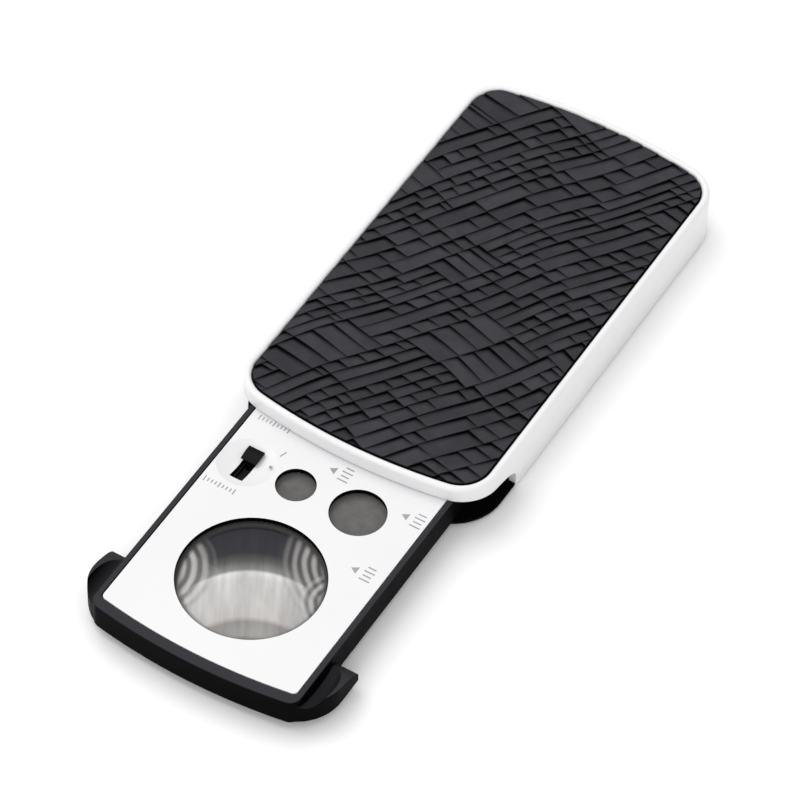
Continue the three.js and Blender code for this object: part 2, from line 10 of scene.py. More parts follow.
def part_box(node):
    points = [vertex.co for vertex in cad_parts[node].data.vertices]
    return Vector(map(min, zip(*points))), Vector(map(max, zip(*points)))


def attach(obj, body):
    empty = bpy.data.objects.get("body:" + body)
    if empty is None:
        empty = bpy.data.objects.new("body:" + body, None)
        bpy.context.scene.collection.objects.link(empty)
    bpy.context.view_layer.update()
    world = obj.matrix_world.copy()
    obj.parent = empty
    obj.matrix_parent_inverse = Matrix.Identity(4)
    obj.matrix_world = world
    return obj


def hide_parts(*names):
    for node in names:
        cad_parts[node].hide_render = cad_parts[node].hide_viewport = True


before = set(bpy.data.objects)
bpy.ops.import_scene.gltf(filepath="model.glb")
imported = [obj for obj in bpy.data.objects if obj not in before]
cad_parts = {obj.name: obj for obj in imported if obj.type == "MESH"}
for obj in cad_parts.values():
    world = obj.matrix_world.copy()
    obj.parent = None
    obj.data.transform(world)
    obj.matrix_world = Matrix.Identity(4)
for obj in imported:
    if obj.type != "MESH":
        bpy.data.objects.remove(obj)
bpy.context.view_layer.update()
MM = 0.001

# ---- places taken from the frame ------------------------------------------

SHELL_LOW, SHELL_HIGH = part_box("upper_shell")
TRAY_LOW, TRAY_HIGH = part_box("tray_frame")
PAD_LOW, PAD_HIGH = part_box("grip_pad")
KNOB_LOW, KNOB_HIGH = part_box("switch_knob")
SLEEVE_Y = (SHELL_LOW.y + SHELL_HIGH.y) / 2
SHELL_HALF = Vector(((SHELL_HIGH.x - SHELL_LOW.x) / 2, (SHELL_HIGH.y - SHELL_LOW.y) / 2))
PAD_HALF = Vector(((PAD_HIGH.x - PAD_LOW.x) / 2, (PAD_HIGH.y - PAD_LOW.y) / 2))
RAIL_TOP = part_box("lower_shell")[1].z
FACE_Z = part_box("face_plate")[1].z

# ---- driving dimensions, in metres ----------------------------------------

END_BOW = 110 * MM
SHELL_CORNER = 7.5 * MM
PAD_CORNER = 6.0 * MM
SHELL_WALL = 1.4 * MM
CEILING = 8.7 * MM
PAD_SEAT = 9.9 * MM
LIP_Z = 7.8 * MM
NOTCH_BACK = 30.3 * MM              # before the sleeve's middle
FLOOR_TOP = 1.3 * MM
BASE_PLAY = 0.15 * MM
BASE_FRONT_CORNER = 10.0 * MM
TRAY_HALF_WIDTH = 20.8 * MM
TRAY_CORNER = 2.2 * MM
TRAY_BOW = 115 * MM
TRAY_FLOOR = 1.0 * MM
EAR_HALF_WIDTH = (TRAY_HIGH.x - TRAY_LOW.x) / 2
EAR_CORNER = 9.0 * MM
EAR_BACK = 15.5 * MM                # behind the tray's front face
RUNNING_GAP = 0.35 * MM
RIM_SIDE = 1.0 * MM
RIM_FRONT = 2.0 * MM
RIM_REAR = 1.5 * MM
PLATE_SLIT = 0.2 * MM
DISH_RADIUS = 5.4 * MM
DISH_DEPTH = 1.2 * MM
SLOT_WIDTH = 2.6 * MM
SLOT_LENGTH = 7.2 * MM
LENS_RING_WIDTH = 0.9 * MM
SCREW_SINK = 1.3 * MM               # radius of the recess for a screw's head
SCREW_HOLE = 0.75 * MM

# Aperture radius of the face plate over each lens, and glass rim beyond it.
APERTURES = {"30x": 13.25 * MM, "60x": 5.15 * MM, "90x": 3.65 * MM}
GLASS_RIM = {"30x": 0.5 * MM, "60x": 0.45 * MM, "90x": 0.45 * MM}

# How far each lens bulges above and below its edge.
GLASS_RISE = {"30x": 1.1 * MM, "60x": 0.1 * MM, "90x": 0.1 * MM}
GLASS_SINK = {"30x": 1.6 * MM, "60x": 0.1 * MM, "90x": 0.1 * MM}


def centre_of(node):
    low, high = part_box(node)
    return (low.x + high.x) / 2, (low.y + high.y) / 2


def lens_centre(name):
    return centre_of("lens_" + name)


def knob_rest():
    """Middle of the switch's slot."""
    return Vector(((KNOB_LOW.x + KNOB_HIGH.x) / 2, (KNOB_LOW.y + KNOB_HIGH.y) / 2 - 2 * MM))


# ---- mesh helpers -----------------------------------------------------------

def new_object(name, verts, faces):
    mesh = bpy.data.meshes.new(name)
    mesh.from_pydata([tuple(v) for v in verts], [], faces)
    made = bmesh.new()
    made.from_mesh(mesh)
    bmesh.ops.remove_doubles(made, verts=made.verts, dist=1e-7)
    bmesh.ops.recalc_face_normals(made, faces=made.faces)
    made.to_mesh(mesh)
    made.free()
    obj = bpy.data.objects.new(name, mesh)
    bpy.context.scene.collection.objects.link(obj)
    return obj


def loft(name, rings, closed=False):
    """Skin over rings of equal length, with capped ends unless the loft closes on itself."""
    count = len(rings[0])
    verts = [p for ring in rings for p in ring]
    faces = []
    last = len(rings) if closed else len(rings) - 1
    for k in range(last):
        low, high = k * count, ((k + 1) % len(rings)) * count
        for i in range(count):
            j = (i + 1) % count
            faces.append((low + i, low + j, high + j, high + i))
    if not closed:
        faces.append(tuple(reversed(range(count))))
        faces.append(tuple(range((len(rings) - 1) * count, len(rings) * count)))
    return new_object(name, verts, faces)


def lift(points, z):
    return [Vector((x, y, z)) for x, y in points]


def box_piece(name, low, high):
    x0, y0, z0 = low
    x1, y1, z1 = high
    ring = [(x0, y0), (x1, y0), (x1, y1), (x0, y1)]
    return loft(name, [lift(ring, z0), lift(ring, z1)])


def circle(x, y, radius, count=64):
    turns = [2 * math.pi * i / count for i in range(count)]
    return [(x + radius * math.cos(a), y + radius * math.sin(a)) for a in turns]


def revolve(name, profile, x, y, count=64):
    """Solid of revolution through (radius, level) pairs, with flat ends."""
    on_axis = 1e-9
    rings = [lift(circle(x, y, max(radius, on_axis), count), z) for radius, z in profile]
    return loft(name, rings)


def tube(name, outer, inner, low, high, x, y, count, bevel):
    """Upright ring whose upper edges are bevelled."""
    profile = [
        (inner, low),
        (outer, low),
        (outer, high - bevel),
        (outer - bevel, high),
        (inner + bevel, high),
        (inner, high - bevel),
    ]
    rings = [lift(circle(x, y, radius, count), z) for radius, z in profile]
    return loft(name, rings, closed=True)


def boolean(target, tools, operation="DIFFERENCE"):
    """Cut or join the tools, which are used up."""
    for tool in tools:
        step = target.modifiers.new("cut", "BOOLEAN")
        step.operation = operation
        step.solver = "EXACT"
        step.object = tool
        bake(target)
        bpy.data.objects.remove(tool, do_unlink=True)
    return target


def bake(obj):
    """Apply every modifier."""
    evaluated = obj.evaluated_get(bpy.context.evaluated_depsgraph_get())
    shape = bpy.data.meshes.new_from_object(evaluated)
    obj.modifiers.clear()
    obj.data = shape


def soften(obj, width, segments=2, angle=35):
    """Round sharp edges, then shade smoothly except over what is still sharp."""
    if width:
        step = obj.modifiers.new("edges", "BEVEL")
        step.width = width
        step.segments = segments
        step.limit_method = "ANGLE"
        step.angle_limit = math.radians(angle)
        step.use_clamp_overlap = True
        step.harden_normals = True
        bake(obj)
    obj.data.shade_smooth()
    obj.data.set_sharp_from_angle(angle=math.radians(angle))
    return keep_flats(obj)


def keep_flats(obj):
    """Let the large faces set the shading, so that they look flat up to their edges."""
    step = obj.modifiers.new("flats", "WEIGHTED_NORMAL")
    step.keep_sharp = True
    step.weight = 100
    bake(obj)
    return obj


def place(obj, body, slot, finish, *nodes):
    obj.data.materials.clear()
    obj.data.materials.append(finish)
    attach(obj, body)
    if nodes:
        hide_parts(*nodes)
    return obj


# ---- outlines ---------------------------------------------------------------

def arc(cx, cy, radius, start, end, steps):
    return [
        (cx + radius * math.cos(a), cy + radius * math.sin(a))
        for a in (start + (end - start) * i / steps for i in range(steps + 1))
    ]


def side_levels(corner_y, dense):
    """Heights up a straight side, top to bottom, close together where the notch is."""
    if not dense:
        return [corner_y * (1 - i / 3) for i in range(1, 6)]
    first_step, growth, reach = 0.1 * MM, 1.35, 7 * MM
    steps = [first_step * growth ** i for i in range(14)]
    levels = [corner_y * (1 - i / 6) for i in range(1, 10)]
    levels += [-NOTCH_BACK + 0.05 * MM, -NOTCH_BACK - 0.02 * MM]
    return levels + [-NOTCH_BACK - step for step in steps if step < reach]


def bowed_outline(half_width, half_length, bow, corner, dense):
    """Rectangle with bowed ends and rounded corners, drawn anticlockwise from its right side."""
    corner_x = half_width - corner
    bow_y = half_length - bow
    corner_y = bow_y + math.sqrt((bow - corner) ** 2 - corner_x ** 2)
    turn = math.atan2(corner_y - bow_y, corner_x)
    back = arc(corner_x, corner_y, corner, 0, turn, 12)
    back += arc(0, bow_y, bow, turn, math.pi - turn, 28)[1:]
    back += arc(-corner_x, corner_y, corner, math.pi - turn, math.pi, 12)[1:]
    front = [(-x, -y) for x, y in back]
    side = side_levels(corner_y, dense)
    left = [(-half_width, y) for y in side]
    right = [(half_width, y) for y in reversed(side)]
    return [(x, y + SLEEVE_Y) for x, y in back + left + front + right]


def shell_outline(inset, dense=True):
    return bowed_outline(
        SHELL_HALF.x - inset, SHELL_HALF.y - inset, END_BOW - inset, SHELL_CORNER - inset, dense
    )


def pad_outline(outset):
    half_width, half_length = PAD_HALF.x + outset, PAD_HALF.y + outset
    return bowed_outline(half_width, half_length, END_BOW, PAD_CORNER + outset, False)


def tray_outline(half_width, front, back, bow, corner, inset=0.0):
    """Bowed front with rounded corners, straight sides and a straight back."""
    half_width -= inset
    front += inset
    back -= inset
    bow -= inset
    corner = max(corner - inset, 0.05 * MM)
    corner_x = half_width - corner
    bow_y = front + bow
    corner_y = bow_y - math.sqrt((bow - corner) ** 2 - corner_x ** 2)
    turn = math.atan2(bow_y - corner_y, corner_x)
    points = [(half_width, back), (-half_width, back)]
    points += arc(-corner_x, corner_y, corner, math.pi, math.pi + turn, 14)
    points += arc(0, bow_y, bow, math.pi + turn, 2 * math.pi - turn, 40)[1:]
    points += arc(corner_x, corner_y, corner, 2 * math.pi - turn, 2 * math.pi, 14)[1:]
    return points


def bezier(corners, steps):
    """Cubic curve through the plane under four control points."""
    points = []
    for i in range(steps + 1):
        t = i / steps
        weights = ((1 - t) ** 3, 3 * (1 - t) ** 2 * t, 3 * (1 - t) * t ** 2, t ** 3)
        points.append(tuple(sum(w * p[k] for w, p in zip(weights, corners)) for k in (0, 1)))
    return points


def notch_line(dy=0.0, dz=0.0):
    """Line in y and z, from the mouth backwards, between the sleeve's wall and the tray's ears."""
    y = SLEEVE_Y + dy
    mouth = (y - SHELL_HALF.y - 2 * MM, LIP_Z + dz)
    corners = (
        (y - 44.0 * MM, FACE_Z + 0.1 * MM + dz),
        (y - 36.5 * MM, FACE_Z - 0.3 * MM + dz),
        (y - NOTCH_BACK, 5.8 * MM + dz),
        (y - NOTCH_BACK, 3.2 * MM + dz),
    )
    return [mouth, *bezier(corners, 24)]


def level_on(line, y, beyond):
    """Level of a line of (y, z) points at y, or `beyond` behind its end."""
    if y >= line[-1][0]:
        return beyond
    for (y0, z0), (y1, z1) in zip(line, line[1:]):
        if y0 <= y <= y1:
            return z0 + (z1 - z0) * (y - y0) / max(y1 - y0, 1e-9)
    return line[0][1]


# ---- materials --------------------------------------------------------------

def node_material(name):
    finish = bpy.data.materials.new(name)
    finish.use_nodes = True
    nodes = finish.node_tree.nodes
    return finish, nodes, finish.node_tree.links, nodes["Principled BSDF"]


def colour(r, g, b):
    """Linear colour from 8-bit sRGB."""
    def linear(v):
        v /= 255
        return v / 12.92 if v <= 0.04045 else ((v + 0.055) / 1.055) ** 2.4
    return (linear(r), linear(g), linear(b), 1.0)


def stops(nodes, links, source, steps):
    """Colours along a value, from (position, colour) steps."""
    step = nodes.new("ShaderNodeValToRGB")
    band = step.color_ramp
    band.elements[0].position, band.elements[0].color = steps[0]
    band.elements[1].position, band.elements[1].color = steps[-1]
    for position, tint in steps[1:-1]:
        band.elements.new(position).color = tint
    links.new(source, step.inputs["Fac"])
    return step.outputs["Color"]


def ramp(nodes, links, source, low, high):
    return stops(nodes, links, source, ((0.3, low), (0.7, high)))


def mixed(nodes, links, factor, under, over, blend="MIX"):
    """Two colours mixed; the factor and each colour is a socket or a constant."""
    step = nodes.new("ShaderNodeMix")
    step.data_type = "RGBA"
    step.blend_type = blend
    for name, value in (("Factor", factor), ("A", under), ("B", over)):
        if isinstance(value, bpy.types.NodeSocket):
            links.new(value, step.inputs[name])
        else:
            step.inputs[name].default_value = value
    return step.outputs["Result"]


def share(nodes, links, source, start, end):
    """0 at start and 1 at end, held beyond them."""
    step = nodes.new("ShaderNodeMapRange")
    step.inputs["From Min"].default_value = start
    step.inputs["From Max"].default_value = end
    links.new(source, step.inputs["Value"])
    return step.outputs["Result"]


def axes(nodes, links, vector):
    """The X, Y and Z of a vector."""
    parts = nodes.new("ShaderNodeSeparateXYZ")
    links.new(vector, parts.inputs["Vector"])
    return parts.outputs["X"], parts.outputs["Y"], parts.outputs["Z"]


def object_point(nodes):
    return nodes.new("ShaderNodeTexCoord").outputs["Object"]


def noise(nodes, links, scale, detail=4.0, roughness=0.6):
    step = nodes.new("ShaderNodeTexNoise")
    step.inputs["Scale"].default_value = scale
    step.inputs["Detail"].default_value = detail
    step.inputs["Roughness"].default_value = roughness
    links.new(object_point(nodes), step.inputs["Vector"])
    return step.outputs["Fac"]


def bump(nodes, links, shader, height, strength, distance):
    step = nodes.new("ShaderNodeBump")
    step.inputs["Strength"].default_value = strength
    step.inputs["Distance"].default_value = distance
    links.new(height, step.inputs["Height"])
    links.new(step.outputs["Normal"], shader.inputs["Normal"])


def grey_pair(value, spread):
    return (value - spread,) * 3 + (1.0,), (value + spread,) * 3 + (1.0,)


def plastic(name, tints, gloss, grain_scale, grain_depth, coat=0.0, specular=0.5):
    """Moulded plastic: faint mottling, uneven gloss and fine tool grain."""
    finish, nodes, links, shader = node_material(name)
    cloudy = noise(nodes, links, 45.0, 3.0)
    links.new(ramp(nodes, links, cloudy, *tints), shader.inputs["Base Color"])
    smears = noise(nodes, links, 160.0, 6.0, 0.7)
    smooth, rough = gloss
    span = grey_pair((smooth + rough) / 2, (rough - smooth) / 2)
    links.new(ramp(nodes, links, smears, *span), shader.inputs["Roughness"])
    grain = noise(nodes, links, grain_scale, 2.0)
    bump(nodes, links, shader, grain, 0.35, grain_depth)
    shader.inputs["IOR"].default_value = 1.5
    shader.inputs["Specular IOR Level"].default_value = specular
    shader.inputs["Coat Weight"].default_value = coat
    shader.inputs["Coat Roughness"].default_value = 0.12
    return finish


def white_shell_finish():
    tints = (colour(224, 224, 225), colour(229, 229, 230))
    return plastic("white_shell", tints, (0.3, 0.4), 2600.0, 0.00001)


def plate_finish():
    tints = (colour(223, 223, 224), colour(226, 226, 227))
    return plastic("white_plate", tints, (0.28, 0.38), 3000.0, 0.000006)


def black_finish():
    tints = (colour(6, 6, 7), colour(10, 10, 11))
    return plastic("black_shell", tints, (0.4, 0.5), 5200.0, 0.00001, specular=0.01)


def tray_finish():
    """Black moulding, near black on its walls, with a painted sheen that makes it paler where it faces up
    towards the light.
    """
    tints = (colour(4, 4, 5), colour(7, 7, 8))
    finish = plastic("black_tray", tints, (0.38, 0.48), 5200.0, 0.00001, specular=0.012)
    nodes, links = finish.node_tree.nodes, finish.node_tree.links
    shader = nodes["Principled BSDF"]
    walls = shader.inputs["Base Color"].links[0].from_socket
    facing = nodes.new("ShaderNodeNewGeometry")
    _, _, rise = axes(nodes, links, facing.outputs["True Normal"])
    upward = share(nodes, links, rise, 0.35, 1.0)
    # painted sheen: faces that point up are mixed towards a paler grey, standing in for the light that
    # falls on them
    painted_top_sheen = mixed(nodes, links, upward, walls, colour(54, 54, 58))
    links.new(painted_top_sheen, shader.inputs["Base Color"])
    return finish


def knob_finish():
    tints = (colour(5, 5, 6), colour(9, 9, 10))
    return plastic("black_knob", tints, (0.3, 0.4), 6000.0, 0.000008, specular=0.08)


def pad_finish():
    """Imitation leather: grey crowns, with painted shade that darkens towards the bottom of each crease,
    and fine pores.
    """
    finish, nodes, links, shader = node_material("embossed_pad")
    cloudy = noise(nodes, links, 260.0, 5.0)
    crown = ramp(nodes, links, cloudy, colour(50, 49, 54), colour(60, 59, 64))
    point = object_point(nodes)
    _, _, level = axes(nodes, links, point)
    height = share(nodes, links, level, PAD_HIGH.z - 0.4 * MM, PAD_HIGH.z)
    # painted shade: the lower the surface sits in a crease, the darker its colour
    painted_crease_shade = ((0.0, colour(20, 20, 24)), (0.62, colour(212, 212, 212)), (1.0, (1, 1, 1, 1)))
    shade = stops(nodes, links, height, painted_crease_shade)
    links.new(mixed(nodes, links, 1.0, crown, shade, "MULTIPLY"), shader.inputs["Base Color"])
    worn = noise(nodes, links, 700.0, 4.0)
    links.new(ramp(nodes, links, worn, *grey_pair(0.56, 0.08)), shader.inputs["Roughness"])
    pores = nodes.new("ShaderNodeTexVoronoi")
    pores.inputs["Scale"].default_value = 2600.0
    links.new(point, pores.inputs["Vector"])
    bump(nodes, links, shader, pores.outputs["Distance"], 0.3, 0.00003)
    shader.inputs["IOR"].default_value = 1.48
    shader.inputs["Specular IOR Level"].default_value = 0.12
    return finish


def math_node(nodes, links, operation, *values):
    """Result of a sum on values, each a socket or a constant."""
    step = nodes.new("ShaderNodeMath")
    step.operation = operation
    for socket, value in zip(step.inputs, values):
        if isinstance(value, bpy.types.NodeSocket):
            links.new(value, socket)
        else:
            socket.default_value = value
    return step.outputs[0]


def distance_from(nodes, links, across, along, x, y):
    dx = math_node(nodes, links, "SUBTRACT", across, x)
    dy = math_node(nodes, links, "SUBTRACT", along, y)
    squared = math_node(nodes, links, "MULTIPLY", dy, dy)
    return math_node(nodes, links, "SQRT", math_node(nodes, links, "MULTIPLY_ADD", dx, dx, squared))


LENS_TURN = math.radians(29.924)    # direction of the big lens's painted dark far side, from +Y
LENS_PAINTED_SHADES = (                      # painted shades for the view through it, from its near to its far side
    (0.00, (84, 83, 80)),
    (0.07, (168, 165, 162)),
    (0.17, (150, 147, 145)),
    (0.21, (196, 193, 191)),
    (0.34, (203, 200, 198)),
    (0.50, (206, 205, 204)),
    (0.56, (222, 222, 222)),
    (0.585, (142, 141, 138)),
    (0.66, (92, 92, 90)),
    (0.73, (54, 53, 58)),
    (1.00, (44, 43, 50)),
)
LENS_PAINTED_BANDS = (                     # centre, reach and pitch of its painted curved bands of light and shade, in lens radii
    (-1.35, 0.2, 0.92, 0.15),
    (1.55, 0.35, 1.22, 0.125),
    (1.15, -0.3, 0.55, 0.12),
)


def lens_point(nodes, links):
    """Place in the big lens, in lens radii from its centre."""
    x, y = lens_centre("30x")
    radius = APERTURES["30x"]
    step = nodes.new("ShaderNodeMapping")
    step.vector_type = "TEXTURE"
    step.inputs["Location"].default_value = (x, y, 0)
    step.inputs["Rotation"].default_value = (0, 0, LENS_TURN)
    step.inputs["Scale"].default_value = (radius, radius, radius)
    links.new(object_point(nodes), step.inputs["Vector"])
    return step.outputs["Vector"]


def paint_lens_shades(nodes, links, across, along):
    """Painted shades from the lens's near side to its far side, along lines that bend with its edge."""
    squared = math_node(nodes, links, "MULTIPLY", across, across)
    bent = math_node(nodes, links, "MULTIPLY_ADD", squared, 0.42, along)
    height = math_node(nodes, links, "MULTIPLY_ADD", bent, 0.5, 0.5)
    return stops(nodes, links, height, [(position, colour(*tint)) for position, tint in LENS_PAINTED_SHADES])


def paint_lens_bands(nodes, links, shade, away, reach, pitch):
    """Painted bright and dark bands of light and shade laid over a shade, fading out at their reach."""
    wobble = math_node(nodes, links, "MULTIPLY_ADD", noise(nodes, links, 140.0, 1.0), 0.06, away)
    turns = math_node(nodes, links, "MULTIPLY", wobble, 2 * math.pi / pitch)
    wave = math_node(nodes, links, "SINE", turns)
    height = math_node(nodes, links, "MULTIPLY_ADD", wave, 0.5, 0.5)
    bands = stops(nodes, links, height, ((0.1, colour(104, 102, 100)), (0.9, colour(206, 204, 202))))
    near = share(nodes, links, away, reach, reach * 0.7)
    amount = math_node(nodes, links, "MULTIPLY", near, 0.78)
    return mixed(nodes, links, amount, shade, bands)


def lens_streaks(nodes, links, shade, point):
    """Faint drawn-out streaks laid over a shade."""
    drawn_out = nodes.new("ShaderNodeMapping")
    drawn_out.inputs["Scale"].default_value = (9.0, 1.2, 1.0)
    links.new(point, drawn_out.inputs["Vector"])
    streaks = nodes.new("ShaderNodeTexNoise")
    streaks.inputs["Scale"].default_value = 1.0
    streaks.inputs["Detail"].default_value = 3.0
    links.new(drawn_out.outputs["Vector"], streaks.inputs["Vector"])
    dimming = ramp(nodes, links, streaks.outputs["Fac"], *grey_pair(0.9, 0.14))
    return mixed(nodes, links, 1.0, shade, dimming, "MULTIPLY")


def big_lens_finish():
    """Clear lens with light and shade painted into its colour: a dark far side, bright curved bands at both
    flanks and a darker rim.
    """
    finish, nodes, links, shader = node_material("lens_glass_big")
    point = lens_point(nodes, links)
    across, along, _ = axes(nodes, links, point)
    # painted light and shade: the view through the glass is painted into its colour
    shade = paint_lens_shades(nodes, links, across, along)
    for x, y, reach, pitch in LENS_PAINTED_BANDS:
        away = distance_from(nodes, links, across, along, x, y)
        shade = paint_lens_bands(nodes, links, shade, away, reach, pitch)
    shade = lens_streaks(nodes, links, shade, point)
    # painted shade: a dark ring painted round the lens's edge
    rim = share(nodes, links, distance_from(nodes, links, across, along, 0.0, 0.0), 0.9, 0.97)
    painted_rim_shade = mixed(nodes, links, rim, shade, colour(84, 82, 80))
    links.new(painted_rim_shade, shader.inputs["Base Color"])
    glass_gloss(nodes, links, shader, 0.15)
    return finish


def small_lens_finish():
    finish, nodes, links, shader = node_material("lens_glass_small")
    cloudy = noise(nodes, links, 500.0, 2.0)
    shade = ramp(nodes, links, cloudy, colour(105, 103, 102), colour(117, 115, 113))
    links.new(shade, shader.inputs["Base Color"])
    glass_gloss(nodes, links, shader, 0.2)
    return finish


def glass_gloss(nodes, links, shader, transmission):
    shader.inputs["Transmission Weight"].default_value = transmission
    shader.inputs["IOR"].default_value = 1.5
    shader.inputs["Specular IOR Level"].default_value = 0.12
    wipes = noise(nodes, links, 300.0, 5.0)
    links.new(ramp(nodes, links, wipes, *grey_pair(0.035, 0.02)), shader.inputs["Roughness"])


def metal_finish(name, low, high, rough, brushed_scale):
    finish, nodes, links, shader = node_material(name)
    cloudy = noise(nodes, links, 220.0, 5.0)
    links.new(ramp(nodes, links, cloudy, low, high), shader.inputs["Base Color"])
    shader.inputs["Metallic"].default_value = 1.0
    marks = noise(nodes, links, brushed_scale, 6.0, 0.8)
    links.new(ramp(nodes, links, marks, *grey_pair(rough, 0.08)), shader.inputs["Roughness"])
    bump(nodes, links, shader, marks, 0.2, 0.00001)
    return finish


def board_finish():
    tints = (colour(28, 84, 48), colour(38, 104, 60))
    return plastic("board_mask", tints, (0.3, 0.45), 1800.0, 0.00001, coat=0.2)


def lamp_finish(name, low, high):
    finish, nodes, links, shader = node_material(name)
    links.new(ramp(nodes, links, noise(nodes, links, 900.0), low, high), shader.inputs["Base Color"])
    shader.inputs["Transmission Weight"].default_value = 0.35
    gloss = ramp(nodes, links, noise(nodes, links, 400.0), *grey_pair(0.12, 0.04))
    links.new(gloss, shader.inputs["Roughness"])
    return finish


def ink_finish():
    tints = (colour(136, 135, 138), colour(160, 159, 162))
    return plastic("faint_print", tints, (0.45, 0.6), 2000.0, 0.000004)


def floor_finish():
    return plastic("studio_floor", grey_pair(0.9775, 0.0025), (0.7, 0.8), 80.0, 0.00001)


# ---- camera, light and floor --------------------------------------------------

CAMERA_AZIMUTH = 29.924
CAMERA_ELEVATION = 50.109
CAMERA_ROLL = 1.746
CAMERA_LENS = 216.55
CAMERA_DISTANCE = 0.8509
AIM = Vector((0.95 * MM, SLEEVE_Y - 29.4 * MM, FACE_Z))


def make_camera():
    azimuth, elevation = math.radians(CAMERA_AZIMUTH), math.radians(CAMERA_ELEVATION)
    level = math.cos(elevation)
    back = Vector((math.sin(azimuth) * level, -math.cos(azimuth) * level, math.sin(elevation)))
    right = Vector((math.cos(azimuth), math.sin(azimuth), 0))
    up = back.cross(right)
    roll = math.radians(CAMERA_ROLL)
    across = right * math.cos(roll) + up * math.sin(roll)
    above = up * math.cos(roll) - right * math.sin(roll)
    data = bpy.data.cameras.new("camera")
    data.sensor_width = 36
    data.lens = CAMERA_LENS
    data.clip_start = 0.01
    data.clip_end = 20
    camera = bpy.data.objects.new("camera", data)
    turn = Matrix((across, above, back)).transposed().to_4x4()
    camera.matrix_world = Matrix.Translation(AIM + back * CAMERA_DISTANCE) @ turn
    bpy.context.scene.collection.objects.link(camera)
    bpy.context.scene.camera = camera


def area_light(name, position, size, power):
    data = bpy.data.lights.new(name, "AREA")
    data.shape = "SQUARE"
    data.size = size
    data.energy = power
    light = bpy.data.objects.new(name, data)
    light.location = position
    to_origin = -Vector(position)
    light.rotation_mode = "QUATERNION"
    light.rotation_quaternion = to_origin.to_track_quat("-Z", "Y")
    bpy.context.scene.collection.objects.link(light)


def make_studio():
    world = bpy.data.worlds.new("studio")
    world.use_nodes = True
    sky = world.node_tree.nodes["Background"]
    sky.inputs["Color"].default_value = (1, 1, 1, 1)
    sky.inputs["Strength"].default_value = 0.86
    bpy.context.scene.world = world
    area_light("key", (-0.5, 0.1, 0.9), 0.8, 4.2)
    area_light("fill", (0.1, -0.85, 0.45), 0.8, 1.6)
    bpy.context.scene.view_settings.view_transform = "Standard"
    span = 4.0
    floor = box_piece("studio_floor", (-span, -span, -0.02), (span, span, -0.0001))
    floor.data.materials.append(floor_finish())


# ---- sleeve -------------------------------------------------------------------

def make_upper_shell():
    """Lofted from the ceiling, round the wall's lower edge and over the bead, to the pad's seat."""
    line = notch_line()
    wall_bottom = SHELL_LOW.z
    top = SHELL_HIGH.z
    bead = 0.75 * MM

    def foot(points, rise):
        return [Vector((x, y, level_on(line, y, wall_bottom) + rise)) for x, y in points]

    rings = [
        lift(shell_outline(SHELL_WALL), CEILING),
        foot(shell_outline(SHELL_WALL), 0.15 * MM),
        foot(shell_outline(SHELL_WALL - 0.2 * MM), 0),
        foot(shell_outline(0.2 * MM), 0),
        foot(shell_outline(0.05 * MM), 0.06 * MM),
        foot(shell_outline(0), 0.2 * MM),
    ]
    for i in range(13):
        angle = math.pi * i / 12
        outline = shell_outline(bead * (1 - math.cos(angle)))
        rings.append(lift(outline, top - bead + bead * math.sin(angle)))
    rings.append(lift(shell_outline(2 * bead - 0.1 * MM), PAD_SEAT))
    shell = loft("upper_shell_skin", rings)
    shell.data.shade_smooth()
    shell.data.set_sharp_from_angle(angle=math.radians(40))
    return place(shell, "sleeve", "white_plastic", white_shell_finish(), "upper_shell")


def make_base_front():
    """Front of the base, as wide as the sleeve, which the notches bare."""
    edge = 1.0 * MM

    def outline(inset):
        inset += 0.1 * MM
        corner = BASE_FRONT_CORNER - inset
        return bowed_outline(SHELL_HALF.x - inset, SHELL_HALF.y - inset, END_BOW - inset, corner, False)

    front = edge_rounded("base_front", outline, 0, FLOOR_TOP, edge, 0.1 * MM)
    reach = 60 * MM
    y = SLEEVE_Y - NOTCH_BACK - BASE_PLAY
    behind = box_piece("behind", (-reach, y, -MM), (reach, y + 2 * reach, 3 * MM))
    return boolean(front, [behind])


def base_rails():
    """The two rails that guide the tray, each in two stretches; the one near the mouth is wider."""
    outer = 23.2 * MM
    stretches = ((21.15, -25.6, -19.1), (22.25, -19.6, 37.5))    # inner face, front and back, in mm
    for side in (1, -1):
        for inner, front, back in stretches:
            x0, x1 = sorted((side * inner * MM, side * outer))
            low = (x0, SLEEVE_Y + front * MM, FLOOR_TOP - 0.2 * MM)
            high = (x1, SLEEVE_Y + back * MM, RAIL_TOP)
            yield box_piece("rail", low, high)


def screw_cut(name, radius, low, high, x, y, count):
    return revolve(name, [(radius, low), (radius, high)], x, y, count)


def make_lower_shell():
    nested = shell_outline(SHELL_WALL + BASE_PLAY, False)
    shell = loft("lower_shell_skin", [lift(nested, 0), lift(nested, FLOOR_TOP)])
    boolean(shell, [make_base_front()], "UNION")
    for rail in base_rails():
        boolean(shell, [rail], "UNION")
    cuts = []
    for i in range(1, 5):
        x, y = centre_of(f"shell_screw_{i}")
        cuts.append(screw_cut("sink", SCREW_SINK, -MM, 0.8 * MM, x, y, 40))
        cuts.append(screw_cut("hole", SCREW_HOLE, 0.5 * MM, 3 * MM, x, y, 32))
    boolean(shell, cuts)
    soften(shell, 0)
    return place(shell, "sleeve", "black_plastic", black_finish(), "lower_shell")


# ---- grip pad -------------------------------------------------------------------

LONG_WAY = math.radians(57)         # direction of the long slats, from +X
CROSS_WAY = math.radians(-16)       # direction of the cross slats
BAND = 9.8 * MM                     # width of one band of slats
CROSS_SHARE = 0.34                  # share of a band's stretches that hold cross slats
SLAT_LENGTHS = (2.8, 3.2, 3.6, 4.2, 5.5, 9.0, 14.0)
SLAT_CENTRE = Vector((0, SLEEVE_Y))
SLAT_LONG = Vector((math.cos(LONG_WAY), math.sin(LONG_WAY)))
SLAT_CROSS = Vector((math.cos(CROSS_WAY), math.sin(CROSS_WAY)))


